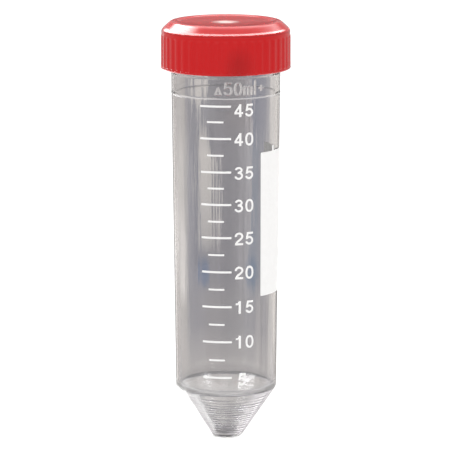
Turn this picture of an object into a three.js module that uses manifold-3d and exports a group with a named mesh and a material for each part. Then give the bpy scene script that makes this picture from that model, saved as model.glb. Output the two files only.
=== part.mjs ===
// 50 ml conical-bottom centrifuge tube with a screw cap. Millimetres, +Z up.
// Origin: centre of the blunt tip's foot, on the tube's axis. The graduations face -Y.
// Azimuths are in degrees from -Y towards +X, which is to the right seen from the front.
import * as THREE from "three";
import { mergeVertices } from "three/addons/utils/BufferGeometryUtils.js";
import Module from "manifold-3d";

const wasm = await Module();
wasm.setup();
const { degToRad, radToDeg, lerp } = THREE.MathUtils;

// ---- driving dimensions: tube ---------------------------------------------------------------
const BARREL_R_TOP = 14.76; // outer radius of the barrel at BARREL_Z_TOP
const BARREL_R_LOW = 13.74; // outer radius of the barrel at BARREL_Z_LOW
const BARREL_Z_TOP = 100.0;
const BARREL_Z_LOW = 16.0;
const WALL = 1.15;
const CONE_Z = 14.5; // height where the cone meets the barrel
const TIP_FLAT_R = 1.42; // flat foot under the tip
const TIP_R = 4.85; // radius where the straight cone ends and the rounded tip begins
const TIP_Z = 1.42;
const RING_Z = 95.9; // fine raised ring around the top of the barrel
const RING_H = 0.18; // how far the ring stands out
const NECK_Z = 101.2; // step from barrel to neck, below the cap's skirt
const NECK_R = 14.55;
const RIM_Z = 112.9; // sealing rim
const RIM_R_IN = 13.5;
const TUBE_SEGMENTS = 60;

// ---- driving dimensions: threads ------------------------------------------------------------
const THREAD_PITCH = 3.5; // single start, right hand
const THREAD_BASE = 1.6; // ridge width at its root
const THREAD_CREST = 0.7; // ridge width at its crest
const THREAD_BURY = 0.4; // how far the ridge reaches into the wall
const THREAD_STEPS = 36; // steps per turn
const THREAD_FADE_STEPS = THREAD_STEPS / 12; // steps over which each end fades
const THREAD_END = 0.12; // share of the full height left at the very ends
const TUBE_THREAD_R = 15.5; // crest radius of the tube's ridge
const TUBE_THREAD_Z = 104.2; // where the ridge's centre line starts
const TUBE_THREAD_TURNS = 1.75;
const CAP_THREAD_R = 15.05; // crest radius of the cap's ridge
const CAP_THREAD_DROP = 1.3; // the cap's ridge runs this far under the tube's
const CAP_THREAD_TURNS = 1.5;
const CAP_THREAD_START = 90; // azimuth where the cap's ridge starts

// ---- driving dimensions: cap and liner ------------------------------------------------------
const CAP_Z_LOW = 102.3;
const CAP_Z_TOP = 115.3;
const CAP_R = 17.62; // over the ribs
const CAP_R_ROOT = 17.3; // between the ribs
const CAP_R_LOW = 17.55; // plain band at the bottom edge
const CAP_R_IN = 16.05;
const CAP_PLATE_Z = 114.05; // underside of the top plate
const CAP_SEAT_R = 15.15; // pocket that the liner sits in
const CAP_SEAT_Z = 112.8;
const CAP_TOP_R = 14.85; // outer radius of the top, with its rounded edge
const CAP_TOP_ROUND = 0.55; // radius of that rounding
const CAP_SHOULDER_Z = 113.05; // where the sloping shoulder meets the skirt
const CAP_DISH_R = 12.6;
const CAP_DISH_Z = 114.98;
const GATE_R = 2.6; // moulding gate dimple in the middle of the top

const RIBS = 45;
const RIB_Z_LOW = 103.1;
const RIB_Z_TOP = 112.3;
const RIB_BURY = 0.2; // how far a rib reaches into the skirt
const RIB_HALF_ROOT = 0.78; // half of a rib's width at its buried face
const RIB_HALF_CREST = 0.42; // and at its outer face
const RIB_END_SLOPE = 0.35; // how far the outer face is pulled in at each end

const LINER_R = 15.0;
const LINER_Z_LOW = 113.0;
const LINER_Z_TOP = 113.9;
const LINER_BEVEL = 0.1;

// ---- driving dimensions: print --------------------------------------------------------------
const INK_GAP = 0.06; // printed ink stands just off the wall
const INK_THICK = 0.1;
const SKEW = 1.2 / 74.4; // degrees the print drifts towards +X per mm down the tube
// Printed lines: azimuths of both ends, height of the line, number of steps along it.
const MAJOR_LINE = { az0: -27.9, az1: 5.4, height: 0.6, steps: 8 };
const MINOR_LINE = { az0: -20.4, az1: -2.5, height: MAJOR_LINE.height * 0.95, steps: 5 };
// volume in ml, z of the line's middle, how far below it the number's middle is
const MAJOR = [
  [45, 93.9, 1.13],
  [40, 85.15, 0.21],
  [35, 76.05, 0.3],
  [30, 67.2, 0.34],
  [25, 58.15, 0.29],
  [20, 48.75, 0.24],
  [15, 39.15, 0.16],
  [10, 29.45, 0.08],
  [5, 19.55, 0.57],
];
// volume in ml as written in the mesh name, z of the line's middle
const MINOR = [
  ["42_5", 89.65], ["37_5", 80.6], ["32_5", 71.65], ["27_5", 62.6],
  ["22_5", 53.45], ["17_5", 43.95], ["12_5", 34.25], ["07_5", 24.4],
];
const PRINT_Z_TOP = MAJOR[0][1]; // the skew is measured from here

const DIGIT_W = 2.55;
const DIGIT_H = 3.5;
const DIGIT_STEP = 2.98; // pitch of the two digits of a number, along the wall
const DIGIT_AZ = 8.6; // azimuth of the numbers' left edge
const SINGLE_DIGIT_SHIFT = 3.2; // degrees a lone digit moves right
const HALF_STROKE = 0.31; // half of a digit's stroke width

const PANEL_AZ0 = 40.0; // left edge of the writing panel
const PANEL_AZ1 = 128.0;
const PANEL_Z0 = 41.5;
const PANEL_Z1 = 80.9;
const TAB_AZ = 60.5; // small locating tick on the panel's top edge
const TAB_HALF = 1.7; // half of its width, in degrees
const TAB_FLANK = 0.15; // half of each flank's width, in degrees
const TAB_H = 1.5;

// ---- helpers --------------------------------------------------------------------------------
function barrelR(z) {
  const rise = BARREL_Z_TOP - BARREL_Z_LOW;
  return BARREL_R_LOW + ((BARREL_R_TOP - BARREL_R_LOW) * (z - BARREL_Z_LOW)) / rise;
}

// Welds a geometry into a manifold solid. The geometry given is used up.
function toSolid(geometry) {
  // normals and uvs would keep vertices at the same place apart
  geometry.deleteAttribute("normal");
  geometry.deleteAttribute("uv");
  const welded = mergeVertices(geometry, 1e-4);
  const triangles = [];
  for (let i = 0; i < welded.index.count; i += 3) {
    const [a, b, c] = [0, 1, 2].map((k) => welded.index.getX(i + k));
    if (a !== b && b !== c && a !== c) triangles.push(a, b, c);
  }
  return new wasm.Manifold(
    new wasm.Mesh({
      numProp: 3,
      vertProperties: welded.attributes.position.array,
      triVerts: new Uint32Array(triangles),
    }),
  );
}

// A solid as a geometry; place may move each vertex.
function toGeometry(solid, place = (x, y, z) => [x, y, z]) {
  const mesh = solid.getMesh();
  const position = new Float32Array(mesh.numVert * 3);
  for (let i = 0; i < mesh.numVert; i++) {
    const start = i * mesh.numProp;
    const [x, y, z] = mesh.vertProperties.subarray(start, start + 3);
    position.set(place(x, y, z), i * 3);
  }
  const geometry = new THREE.BufferGeometry();
  geometry.setAttribute("position", new THREE.BufferAttribute(position, 3));
  geometry.setIndex(new THREE.BufferAttribute(mesh.triVerts, 1));
  geometry.computeVertexNormals();
  return geometry;
}

const toVectors = (points) => points.map(([x, y]) => new THREE.Vector2(x, y));

// A profile of [radius, height] pairs turned about Z.
function turned(profile, segments) {
  return new THREE.LatheGeometry(toVectors(profile), segments).rotateX(Math.PI / 2);
}

// Points along an elliptical arc, angles in degrees.
function arc(centreX, centreY, radiusX, radiusY, from, to, steps) {
  return Array.from({ length: steps + 1 }, (_, i) => {
    const angle = degToRad(from + ((to - from) * i) / steps);
    return [centreX + radiusX * Math.cos(angle), centreY + radiusY * Math.sin(angle)];
  });
}

// Skins a list of rows, each a closed loop of points, and caps both ends.
function loft(rows) {
  const n = rows[0].length;
  const coords = rows.flat(2);
  const index = [];
  for (let i = 0; i + 1 < rows.length; i++)
    for (let j = 0; j < n; j++) {
      const a = i * n + j;
      const b = i * n + ((j + 1) % n);
      index.push(a, b, b + n, a, b + n, a + n);
    }
  const last = (rows.length - 1) * n;
  for (let j = 1; j + 1 < n; j++) {
    index.push(0, j + 1, j);
    index.push(last, last + j, last + j + 1);
  }
  let volume = 0; // six times the signed volume
  for (let i = 0; i < index.length; i += 3) {
    const [a, b, c] = [0, 1, 2].map((k) =>
      new THREE.Vector3().fromArray(coords, 3 * index[i + k]),
    );
    volume += a.dot(b.cross(c));
  }
  if (volume < 0) index.reverse(); // faces always point out
  const geometry = new THREE.BufferGeometry();
  geometry.setAttribute("position", new THREE.Float32BufferAttribute(coords, 3));
  geometry.setIndex(index);
  return geometry;
}

// A helical thread ridge that starts at -Y. Its ends fade into the wall.
function ridge({ rootR, crestR, startZ, turns }) {
  const steps = Math.round(turns * THREAD_STEPS);
  const buriedR = crestR < rootR ? rootR + THREAD_BURY : rootR - THREAD_BURY;
  const halfBase = THREAD_BASE / 2;
  const rows = [];
  for (let i = 0; i <= steps; i++) {
    const angle = (2 * Math.PI * i) / THREAD_STEPS;
    const z = startZ + (THREAD_PITCH * i) / THREAD_STEPS;
    const growth = Math.min(
      1,
      THREAD_END + i / THREAD_FADE_STEPS,
      THREAD_END + (steps - i) / THREAD_FADE_STEPS,
    );
    const topR = lerp(rootR, crestR, growth);
    const halfTop = lerp(halfBase * 0.6, THREAD_CREST / 2, growth);
    const section = [
      [buriedR, z - halfBase],
      [rootR, z - halfBase],
      [topR, z - halfTop],
      [topR, z + halfTop],
      [rootR, z + halfBase],
      [buriedR, z + halfBase],
    ];
    rows.push(section.map(([r, h]) => [r * Math.sin(angle), -r * Math.cos(angle), h]));
  }
  return toSolid(loft(rows));
}

// ---- tube body ------------------------------------------------------------------------------
function tubeBody() {
  // [radius, z], up the outside, over the rim and down the inside
  const profile = [
    [0, 0],
    [TIP_FLAT_R, 0],
    [3.05, 0.16],
    [4.0, 0.5],
    [TIP_R, TIP_Z],
    [barrelR(CONE_Z) - 0.22, CONE_Z - 0.3],
    [barrelR(CONE_Z + 0.6), CONE_Z + 0.6],
    [barrelR(RING_Z - 0.3), RING_Z - 0.3],
    [barrelR(RING_Z) + RING_H, RING_Z - 0.12],
    [barrelR(RING_Z) + RING_H, RING_Z + 0.12],
    [barrelR(RING_Z + 0.3), RING_Z + 0.3],
    [barrelR(NECK_Z), NECK_Z],
    [NECK_R, NECK_Z + 0.35],
    [NECK_R, RIM_Z - 0.25],
    [NECK_R - 0.25, RIM_Z],
    [RIM_R_IN, RIM_Z],
    [barrelR(CONE_Z + 0.5) - WALL, CONE_Z + 0.5],
    [3.72, 1.95],
    [2.6, 1.38],
    [0, 1.25],
  ];
  const thread = ridge({
    rootR: NECK_R,
    crestR: TUBE_THREAD_R,
    startZ: TUBE_THREAD_Z,
    turns: TUBE_THREAD_TURNS,
  });
  return toGeometry(toSolid(turned(profile, TUBE_SEGMENTS)).add(thread));
}

// ---- screw cap ------------------------------------------------------------------------------
// The cap without ribs and thread. The profiles are [radius, z].
function capShell() {
  const outside = [
    [0, CAP_Z_LOW],
    [CAP_R_LOW - 0.35, CAP_Z_LOW],
    [CAP_R_LOW, CAP_Z_LOW + 0.45],
    [CAP_R_LOW, RIB_Z_LOW - 0.2],
    [CAP_R_ROOT, RIB_Z_LOW + 0.1],
    [CAP_R_ROOT, CAP_SHOULDER_Z - 0.55],
    [CAP_R_ROOT - 0.35, CAP_SHOULDER_Z + 0.05],
    ...arc(CAP_TOP_R - CAP_TOP_ROUND, CAP_Z_TOP - CAP_TOP_ROUND,
      CAP_TOP_ROUND, CAP_TOP_ROUND, 45, 90, 2),
    [0, CAP_Z_TOP],
  ];
  const hollow = [
    [0, CAP_Z_LOW - 1],
    [CAP_R_IN, CAP_Z_LOW - 1],
    [CAP_R_IN, CAP_SEAT_Z - 0.5],
    [CAP_SEAT_R, CAP_SEAT_Z],
    [CAP_SEAT_R, CAP_PLATE_Z - 0.15],
    [CAP_SEAT_R - 0.15, CAP_PLATE_Z],
    [0, CAP_PLATE_Z],
  ];
  const dish = [
    [0, CAP_DISH_Z - 0.32],
    [GATE_R * 0.55, CAP_DISH_Z - 0.26],
    [GATE_R, CAP_DISH_Z],
    [CAP_DISH_R, CAP_DISH_Z],
    [CAP_DISH_R + 1.0, CAP_Z_TOP + 0.35],
    [0, CAP_Z_TOP + 0.35],
  ];
  return toSolid(turned(outside, 90))
    .subtract(toSolid(turned(hollow, 60)))
    .subtract(toSolid(turned(dish, 45)));
}

// One grip rib: a low ridge with sloped flanks and sloped ends.
function gripRib(number) {
  const depth = CAP_R - CAP_R_ROOT + RIB_BURY;
  const length = RIB_Z_TOP - RIB_Z_LOW;
  const outline = polygon([
    [-RIB_HALF_ROOT, 0],
    [RIB_HALF_ROOT, 0],
    [RIB_HALF_CREST, depth],
    [-RIB_HALF_CREST, depth],
  ]);
  const geometry = new THREE.ExtrudeGeometry(outline, { depth: length, bevelEnabled: false });
  const position = geometry.attributes.position;
  for (let i = 0; i < position.count; i++) {
    if (position.getY(i) < depth / 2) continue; // only the outer face is pulled in
    const z = position.getZ(i);
    position.setZ(i, z > length / 2 ? z - RIB_END_SLOPE : z + RIB_END_SLOPE);
  }
  geometry.translate(0, CAP_R_ROOT - RIB_BURY, RIB_Z_LOW);
  geometry.rotateZ(Math.PI + (2 * Math.PI * number) / RIBS);
  return toSolid(geometry);
}

function screwCap() {
  const ribs = Array.from({ length: RIBS }, (_, number) => gripRib(number));
  const thread = ridge({
    rootR: CAP_R_IN,
    crestR: CAP_THREAD_R,
    startZ: TUBE_THREAD_Z - CAP_THREAD_DROP + (THREAD_PITCH * CAP_THREAD_START) / 360,
    turns: CAP_THREAD_TURNS,
  }).rotate([0, 0, CAP_THREAD_START]);
  return toGeometry(wasm.Manifold.union([capShell(), ...ribs]).add(thread));
}

// ---- cap liner: a disc with bevelled edges --------------------------------------------------
function capLiner() {
  const profile = [
    [0, LINER_Z_LOW],
    [LINER_R - LINER_BEVEL, LINER_Z_LOW],
    [LINER_R, LINER_Z_LOW + LINER_BEVEL],
    [LINER_R, LINER_Z_TOP - LINER_BEVEL],
    [LINER_R - LINER_BEVEL, LINER_Z_TOP],
    [0, LINER_Z_TOP],
  ];
  return turned(profile, 48);
}

// ---- printed lines and panel ----------------------------------------------------------------
// A point of the print, at a distance off the wall.
function onWall(az, z, off) {
  const r = barrelR(z) + off;
  return [r * Math.sin(degToRad(az)), -r * Math.cos(degToRad(az)), z];
}

const skewAt = (z) => SKEW * (PRINT_Z_TOP - z);

// A band of ink through columns of [azimuth, low z, high z].
function band(columns) {
  return loft(
    columns.map(([az, low, high]) => [
      onWall(az, low, INK_GAP),
      onWall(az, low, INK_GAP + INK_THICK),
      onWall(az, high, INK_GAP + INK_THICK),
      onWall(az, high, INK_GAP),
    ]),
  );
}

function markLine(z, { az0, az1, height, steps }) {
  return band(
    Array.from({ length: steps + 1 }, (_, i) => [
      az0 + skewAt(z) + ((az1 - az0) * i) / steps,
      z - height / 2,
      z + height / 2,
    ]),
  );
}

function writingPanel() {
  const columns = [];
  const addColumn = (az, top = PANEL_Z1) => columns.push([az, PANEL_Z0, top]);
  const tabLeft = TAB_AZ - TAB_HALF;
  const tabRight = TAB_AZ + TAB_HALF;
  for (let az = PANEL_AZ0; az < tabLeft - 1; az += 5) addColumn(az);
  addColumn(tabLeft - TAB_FLANK);
  addColumn(tabLeft + TAB_FLANK, PANEL_Z1 + TAB_H);
  addColumn(tabRight - TAB_FLANK, PANEL_Z1 + TAB_H);
  addColumn(tabRight + TAB_FLANK);
  for (let az = tabRight + 4; az < PANEL_AZ1; az += 5.5) addColumn(az);
  addColumn(PANEL_AZ1);
  return band(columns);
}

// ---- printed digits: shapes joined in the flat and then wrapped on the wall -----------------
function polygon(points) {
  return new THREE.Shape(toVectors(points));
}

function rectangle(x0, y0, x1, y1) {
  return polygon([[x0, y0], [x1, y0], [x1, y1], [x0, y1]]);
}

// A stroke of the digits' width along a line of points.
function stroke(points) {
  const left = [];
  const right = [];
  points.forEach(([x, y], i) => {
    const [beforeX, beforeY] = points[Math.max(0, i - 1)];
    const [afterX, afterY] = points[Math.min(points.length - 1, i + 1)];
    const length = Math.hypot(afterX - beforeX, afterY - beforeY);
    const offsetX = (-(afterY - beforeY) / length) * HALF_STROKE;
    const offsetY = ((afterX - beforeX) / length) * HALF_STROKE;
    left.push([x + offsetX, y + offsetY]);
    right.push([x - offsetX, y - offsetY]);
  });
  return polygon([...right, ...left.reverse()]);
}

function zeroShape() {
  const oval = (insetX, insetY) =>
    arc(DIGIT_W / 2, DIGIT_H / 2, DIGIT_W / 2 - insetX, DIGIT_H / 2 - insetY, 0, 337.5, 15);
  const ring = polygon(oval(0.06, 0));
  const hole = oval(0.06 + 2 * HALF_STROKE, 1.8 * HALF_STROKE);
  ring.holes.push(new THREE.Path(toVectors(hole)));
  return ring;
}

// The shapes of each digit, from its lower left corner.
const GLYPHS = {
  0: [zeroShape()],
  1: [
    polygon([
      [1.12, 0], [1.8, 0], [1.8, DIGIT_H], [1.28, DIGIT_H], [1.1, 3.12],
      [0.8, 2.92], [0.35, 2.84], [0.35, 2.38], [1.12, 2.38],
    ]),
  ],
  2: [
    stroke([...arc(1.27, 2.42, 0.88, 0.8, 190, -35, 7), [1.55, 1.48], [0.95, 1.02], [0.52, 0.36]]),
    polygon([[0.16, 0], [DIGIT_W - 0.1, 0], [DIGIT_W - 0.1, 0.58], [0.3, 0.58]]),
  ],
  3: [
    stroke(arc(1.22, 2.58, 0.78, 0.65, 165, -85, 7)),
    stroke(arc(1.25, 1.06, 0.9, 0.77, 85, -165, 7)),
    rectangle(0.95, 1.58, 1.45, 2.14),
  ],
  4: [
    rectangle(1.35, 0, 1.97, DIGIT_H),
    rectangle(0.08, 0.75, DIGIT_W - 0.1, 1.3),
    polygon([
      [0.08, 1.1], [0.62, 1.1], [1.97, 3.3],
      [1.97, DIGIT_H], [1.4, DIGIT_H], [0.08, 1.45],
    ]),
  ],
  5: [
    rectangle(0.5, 2.94, DIGIT_W - 0.25, DIGIT_H),
    polygon([[0.22, 1.7], [0.8, 1.75], [1.05, DIGIT_H], [0.5, DIGIT_H]]),
    stroke(arc(1.22, 1.2, 0.92, 0.9, 140, -160, 9)),
  ],
};

// A digit with its left edge at az and its middle at middleZ.
function digit(character, az, middleZ) {
  const pieces = GLYPHS[character].map((shape) =>
    toSolid(new THREE.ExtrudeGeometry(shape, { depth: INK_THICK, bevelEnabled: false })),
  );
  const flat = pieces.length > 1 ? wasm.Manifold.union(pieces) : pieces[0];
  const wallR = barrelR(middleZ);
  return toGeometry(flat, (x, y, z) =>
    onWall(az + radToDeg(x / wallR), middleZ - DIGIT_H / 2 + y, INK_GAP + z),
  );
}

// ---- materials ------------------------------------------------------------------------------
const clear = new THREE.MeshStandardMaterial({
  color: 0xd6d8d8,
  roughness: 0.08,
  transparent: true,
  opacity: 0.35,
});
const red = new THREE.MeshStandardMaterial({ color: 0xc8272d, roughness: 0.35 });
const foam = new THREE.MeshStandardMaterial({ color: 0xeeeae0, roughness: 0.8 });
const ink = new THREE.MeshStandardMaterial({ color: 0xf8f8f6, roughness: 0.55 });

// ---- assembly -------------------------------------------------------------------------------
const product = new THREE.Group();
const tubeGroup = new THREE.Group(); // everything that stays with the tube
const capGroup = new THREE.Group(); // everything that unscrews
product.add(tubeGroup, capGroup);

function put(group, name, geometry, material) {
  const mesh = new THREE.Mesh(geometry, material);
  mesh.name = name;
  group.add(mesh);
}

put(tubeGroup, "tube_body", tubeBody(), clear);
put(capGroup, "screw_cap", screwCap(), red);
put(capGroup, "cap_liner", capLiner(), foam);

for (const [ml, z, drop] of MAJOR) {
  const text = String(ml);
  const label = text.padStart(2, "0");
  put(tubeGroup, `mark_${label}`, markLine(z, MAJOR_LINE), ink);
  const middleZ = z - drop;
  const left = DIGIT_AZ + skewAt(z) + (text.length === 1 ? SINGLE_DIGIT_SHIFT : 0);
  [...text].forEach((character, i) => {
    const az = left + radToDeg((i * DIGIT_STEP) / barrelR(middleZ));
    const place = i === text.length - 1 ? "unit" : "tens";
    const name = `digit_${label}_${place}_${character}`;
    put(tubeGroup, name, digit(character, az, middleZ), ink);
  });
}
for (const [ml, z] of MINOR) put(tubeGroup, `mark_${ml}`, markLine(z, MINOR_LINE), ink);
put(tubeGroup, "writing_panel", writingPanel(), ink);

export default product;
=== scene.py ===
import math

import bmesh
import bpy
import numpy as np
from mathutils import Matrix, Vector


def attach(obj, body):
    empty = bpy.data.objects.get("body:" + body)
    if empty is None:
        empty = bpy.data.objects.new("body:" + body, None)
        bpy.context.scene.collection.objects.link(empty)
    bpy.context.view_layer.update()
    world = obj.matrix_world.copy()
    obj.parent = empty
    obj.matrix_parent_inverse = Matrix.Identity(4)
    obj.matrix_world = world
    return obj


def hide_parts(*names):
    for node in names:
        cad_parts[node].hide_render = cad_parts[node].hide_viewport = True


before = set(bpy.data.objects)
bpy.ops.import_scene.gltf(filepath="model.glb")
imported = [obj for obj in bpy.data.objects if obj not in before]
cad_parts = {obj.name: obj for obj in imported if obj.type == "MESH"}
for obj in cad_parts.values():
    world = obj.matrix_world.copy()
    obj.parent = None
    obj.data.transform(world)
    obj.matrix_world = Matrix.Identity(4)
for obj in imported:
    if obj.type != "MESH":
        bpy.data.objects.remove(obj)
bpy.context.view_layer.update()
MM = 0.001
scene = bpy.context.scene

# ------------------------------------------------------------------ driving dimensions
BARREL_FOOT_RADIUS, BARREL_FOOT_Z = 13.74, 16.0
BARREL_HEAD_RADIUS, BARREL_LENGTH = 14.76, 84.0
TIP_RADIUS, TIP_Z = 4.85, 1.42
CONE_TOP_RADIUS, CONE_TOP_Z = 13.5, 14.2
WALL = 1.15
NECK_RADIUS, MOUTH_RADIUS, MOUTH_Z = 14.55, 13.5, 112.9
CAP_BORE = 16.05

THREAD_PITCH = 3.5
TUBE_THREAD = dict(start_z=104.2, start_azimuth=0.0, turns=1.75, height=15.5 - NECK_RADIUS)
CAP_THREAD = dict(start_z=104.2 - 1.3, start_azimuth=90.0, turns=1.5, height=CAP_BORE - 15.05)


def barrel_radius(z):
    rise = BARREL_HEAD_RADIUS - BARREL_FOOT_RADIUS
    return BARREL_FOOT_RADIUS + rise * (z - BARREL_FOOT_Z) / BARREL_LENGTH


def cone_radius(z):
    return TIP_RADIUS + (CONE_TOP_RADIUS - TIP_RADIUS) / (CONE_TOP_Z - TIP_Z) * (z - TIP_Z)


def on_barrel(z, inset=0.0):
    """A profile point (radius, z) on the barrel's outside, or inset from it."""
    return (barrel_radius(z) - inset, z)


# ------------------------------------------------------------------ mesh helpers
def smooth(t):
    """Smoothstep: 0 below 0, 1 above 1."""
    t = np.clip(t, 0.0, 1.0)
    return t * t * (3 - 2 * t)


def add_object(name, data):
    item = bpy.data.objects.new(name, data)
    scene.collection.objects.link(item)
    return item


def make_solid(name, points, faces):
    """A smooth-shaded mesh object from points in mm."""
    mesh = bpy.data.meshes.new(name)
    mesh.from_pydata((np.asarray(points, float) * MM).tolist(), [], faces)
    mesh.validate()
    mesh.update()
    edit = bmesh.new()
    edit.from_mesh(mesh)
    bmesh.ops.recalc_face_normals(edit, faces=edit.faces)
    edit.to_mesh(mesh)
    edit.free()
    mesh.polygons.foreach_set("use_smooth", [True] * len(mesh.polygons))
    return add_object(name, mesh)


def around(radius, azimuth, z):
    """Cartesian points from radii, azimuths and heights."""
    angle = np.radians(azimuth)
    heights = np.broadcast_to(z, angle.shape)
    return np.stack([radius * np.sin(angle), -radius * np.cos(angle), heights], 1)


def revolve(name, rows, azimuths, shape=None):
    """Turns rows of (radius, z) round the axis; the first and last rows are poles (radius 0).
    shape(radius, z, azimuths) may give a row its own radii."""
    count = len(azimuths)
    points, faces, rings = [], [], []
    for radius, z in rows:
        if radius == 0:
            rings.append((len(points), True))
            points.append((0.0, 0.0, z))
        else:
            rings.append((len(points), False))
            radii = shape(radius, z, azimuths) if shape else radius
            points.extend(around(radii, azimuths, z))
    for (first, first_is_pole), (second, second_is_pole) in zip(rings[:-1], rings[1:]):
        for j in range(count):
            k = (j + 1) % count
            if first_is_pole:
                faces.append((first, second + k, second + j))
            elif second_is_pole:
                faces.append((first + j, first + k, second))
            else:
                faces.append((first + j, first + k, second + k, second + j))
    return make_solid(name, points, faces)


def spline(points, steps=3):
    """Catmull-Rom curve through points, with some steps in each span."""
    knots = np.asarray(points, float)
    knots = np.vstack([2 * knots[0] - knots[1], knots, 2 * knots[-1] - knots[-2]])
    curve = []
    for i in range(1, len(knots) - 2):
        before, start, end, after = knots[i - 1:i + 3]
        for t in np.linspace(0, 1, steps, endpoint=False):
            curve.append(0.5 * ((2 * start) + (end - before) * t
                                + (2 * before - 5 * start + 4 * end - after) * t * t
                                + (3 * start - before - 3 * end + after) * t ** 3))
    curve.append(knots[-2])
    return [tuple(point) for point in curve]


def profile_arc(centre_radius, centre_z, radius, start, end, steps):
    """Arc of profile points; its angle runs from +z towards growing radius."""
    angles = np.radians(np.linspace(start, end, steps + 1))
    return [(centre_radius + radius * math.sin(a), centre_z + radius * math.cos(a))
            for a in angles]


def thread_ridge(thread, azimuths, z):
    """Height of a helical ridge, faded in and out at its ends."""
    ridge = np.zeros(azimuths.shape)
    for k in range(-1, 4):
        wound = (azimuths % 360.0) + 360.0 * k
        turn = (wound - thread["start_azimuth"]) / 360.0
        off_centre = np.abs(z - (thread["start_z"] + THREAD_PITCH * wound / 360.0))
        section = smooth(1 - (off_centre - 0.3) / 0.5)
        fade = smooth(turn / 0.07) * smooth((thread["turns"] - turn) / 0.07)
        fade = np.where((turn >= 0) & (turn <= thread["turns"]), fade, 0.0)
        ridge = np.maximum(ridge, section * fade)
    return thread["height"] * ridge


def register(piece, material, part, replaced):
    piece.data.materials.append(material)
    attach(piece, part)
    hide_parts(replaced)


# ------------------------------------------------------------------ signed distances (mm)
def segment_distance(x, y, start, end):
    (start_x, start_y), (end_x, end_y) = start, end
    run, rise = end_x - start_x, end_y - start_y
    square = run * run + rise * rise
    t = ((x - start_x) * run + (y - start_y) * rise) / max(square, 1e-12)
    t = np.clip(t, 0, 1)
    return np.hypot(x - (start_x + t * run), y - (start_y + t * rise))


def path_distance(x, y, path):
    distance = np.full(np.broadcast(x, y).shape, 1e9)
    for start, end in zip(path[:-1], path[1:]):
        distance = np.minimum(distance, segment_distance(x, y, start, end))
    return distance


def stroke(x, y, path, half_width):
    """A stroke with square ends: the round-ended stroke, cut off at each end."""
    distance = path_distance(x, y, path) - half_width
    for end, inner in ((path[0], path[1]), (path[-1], path[-2])):
        out_x, out_y = end[0] - inner[0], end[1] - inner[1]
        near = np.hypot(x - end[0], y - end[1]) < half_width * 1.6
        cut = ((x - end[0]) * out_x + (y - end[1]) * out_y) / math.hypot(out_x, out_y)
        distance = np.where(near, np.maximum(distance, cut), distance)
    return distance


def box(x, y, left, bottom, right, top, corner=0.0):
    over_x = np.abs(x - (left + right) / 2) - ((right - left) / 2 - corner)
    over_y = np.abs(y - (bottom + top) / 2) - ((top - bottom) / 2 - corner)
    outside = np.hypot(np.maximum(over_x, 0), np.maximum(over_y, 0))
    return outside + np.minimum(np.maximum(over_x, over_y), 0) - corner


def convex(x, y, corners):
    """Distance bound of a convex polygon, corners counter-clockwise."""
    distance = np.full(x.shape, -1e9)
    for i, (from_x, from_y) in enumerate(corners):
        to_x, to_y = corners[(i + 1) % len(corners)]
        run, rise = to_x - from_x, to_y - from_y
        side = ((x - from_x) * rise - (y - from_y) * run) / math.hypot(run, rise)
        distance = np.maximum(distance, side)
    return distance


def union(*distances):
    return np.minimum.reduce(distances)


def ellipse_arc(centre_x, centre_y, radius_x, radius_y, start, end, steps=28):
    angle = np.radians(np.linspace(start, end, steps + 1))
    return list(zip(centre_x + radius_x * np.cos(angle), centre_y + radius_y * np.sin(angle)))


# ------------------------------------------------------------------ printed digits
# Each digit is a signed distance; x runs right and y up from its lower left corner.
DIGIT_WIDTH, DIGIT_HEIGHT, HALF_STROKE = 2.55, 3.5, 0.285


def digit_0(x, y):
    """A straight-sided oval: a stroke along a superellipse."""
    angle = np.radians(np.linspace(0, 360, 73))
    cos, sin = np.cos(angle), np.sin(angle)
    power = 2 / 2.35
    half_width = DIGIT_WIDTH / 2 - 0.08 - HALF_STROKE
    half_height = DIGIT_HEIGHT / 2 - HALF_STROKE * 0.93
    path = list(zip(DIGIT_WIDTH / 2 + half_width * np.sign(cos) * np.abs(cos) ** power,
                    DIGIT_HEIGHT / 2 + half_height * np.sign(sin) * np.abs(sin) ** power))
    return path_distance(x, y, path) - HALF_STROKE


def digit_1(x, y):
    flag = stroke(x, y, [(0.28, 2.6), (0.75, 2.66), (1.12, 2.86), (1.35, 3.3), (1.4, 3.62)], 0.24)
    return union(box(x, y, 1.1, 0, 1.76, DIGIT_HEIGHT), np.maximum(flag, y - DIGIT_HEIGHT))


def digit_2(x, y):
    path = ellipse_arc(1.27, 2.42, 0.9, 0.79, 188, -32)
    path += [(1.62, 1.56), (1.1, 1.18), (0.72, 0.84), (0.52, 0.4), (0.5, 0.2)]
    return union(np.maximum(stroke(x, y, path, HALF_STROKE), -y),
                 box(x, y, 0.19, 0, DIGIT_WIDTH - 0.12, 0.58))


def digit_3(x, y):
    upper = ellipse_arc(1.22, 2.6, 0.8, 0.61, 172, -90)
    lower = ellipse_arc(1.23, 1.08, 0.92, 0.79, 90, -172)
    half_width = HALF_STROKE * 0.97
    return union(stroke(x, y, upper, half_width), stroke(x, y, lower, half_width),
                 box(x, y, 0.92, 1.6, 1.4, 2.15))


def digit_4(x, y):
    diagonal = path_distance(x, y, [(0.3, 1.18), (1.72, 3.3)]) - 0.27
    return union(box(x, y, 1.36, 0, 1.98, DIGIT_HEIGHT),
                 box(x, y, 0.08, 0.76, DIGIT_WIDTH - 0.08, 1.3),
                 np.maximum(diagonal, np.maximum(0.08 - x, y - DIGIT_HEIGHT)))


def digit_5(x, y):
    bowl = ellipse_arc(1.22, 1.2, 0.92, 0.89, 146, -165, 36)
    stem = [(0.2, 1.55), (0.78, 1.62), (1.08, DIGIT_HEIGHT), (0.52, DIGIT_HEIGHT)]
    return union(box(x, y, 0.52, 2.93, DIGIT_WIDTH - 0.22, DIGIT_HEIGHT),
                 convex(x, y, stem), stroke(x, y, bowl, HALF_STROKE))


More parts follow.
